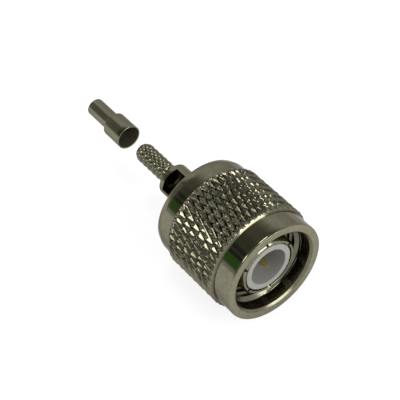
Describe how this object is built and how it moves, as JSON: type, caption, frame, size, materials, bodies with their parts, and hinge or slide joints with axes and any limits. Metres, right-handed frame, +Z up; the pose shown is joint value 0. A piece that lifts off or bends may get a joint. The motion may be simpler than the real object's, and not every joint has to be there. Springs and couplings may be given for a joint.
{
  "type": "tnc connector",
  "caption": "Threaded coaxial plug with a diamond-knurled coupling nut, slotted outer contact, gold pin, windowed barrel, knurled crimp stem and a loose stepped crimp sleeve.",
  "frame": {"origin": "centre of the coupling nut's front face on the plug's axis, where the outer contact enters the jack", "axes": "-Y out of the mouth, along the mating axis; +Y towards the cable; +Z up; the barrel's window faces 45 degrees from +Z towards -X"},
  "size_m": [0.0146, 0.038, 0.0146],
  "materials": {
    "nickel_nut": "nickel-plated, satin turned",
    "spring_bronze": "bare spring bronze",
    "nickel_body": "nickel-plated, satin turned",
    "nickel_contact": "nickel-plated, bright",
    "silicone": "moulded silicone",
    "ptfe": "turned PTFE",
    "gold": "gold-plated",
    "nickel_sleeve": "nickel-plated, drawn"
  },
  "bodies": {
    "body": {"connector_body": "nickel_body", "spring_finger_contact": "nickel_contact", "gasket": "silicone", "front_insulator": "ptfe", "rear_insulator": "ptfe", "centre_contact": "gold"},
    "ring": {"retaining_ring": "spring_bronze"},
    "nut": {"coupling_nut": "nickel_nut"},
    "sleeve": {"crimp_sleeve": "nickel_sleeve"}
  },
  "joints": [
    {"name": "nut_float", "type": "slide", "parent": "body", "child": "ring", "axis": [0, 1, 0], "range_m": [-0.0003, 0.0003]},
    {"name": "nut_spin", "type": "hinge", "parent": "ring", "child": "nut", "pos_m": [0, 0.0071, 0], "axis": [0, 1, 0], "continuous": true},
    {"name": "sleeve_slide", "type": "slide", "parent": "body", "child": "sleeve", "axis": [0, -1, 0], "range_m": [0, 0.0064]}
  ]
}
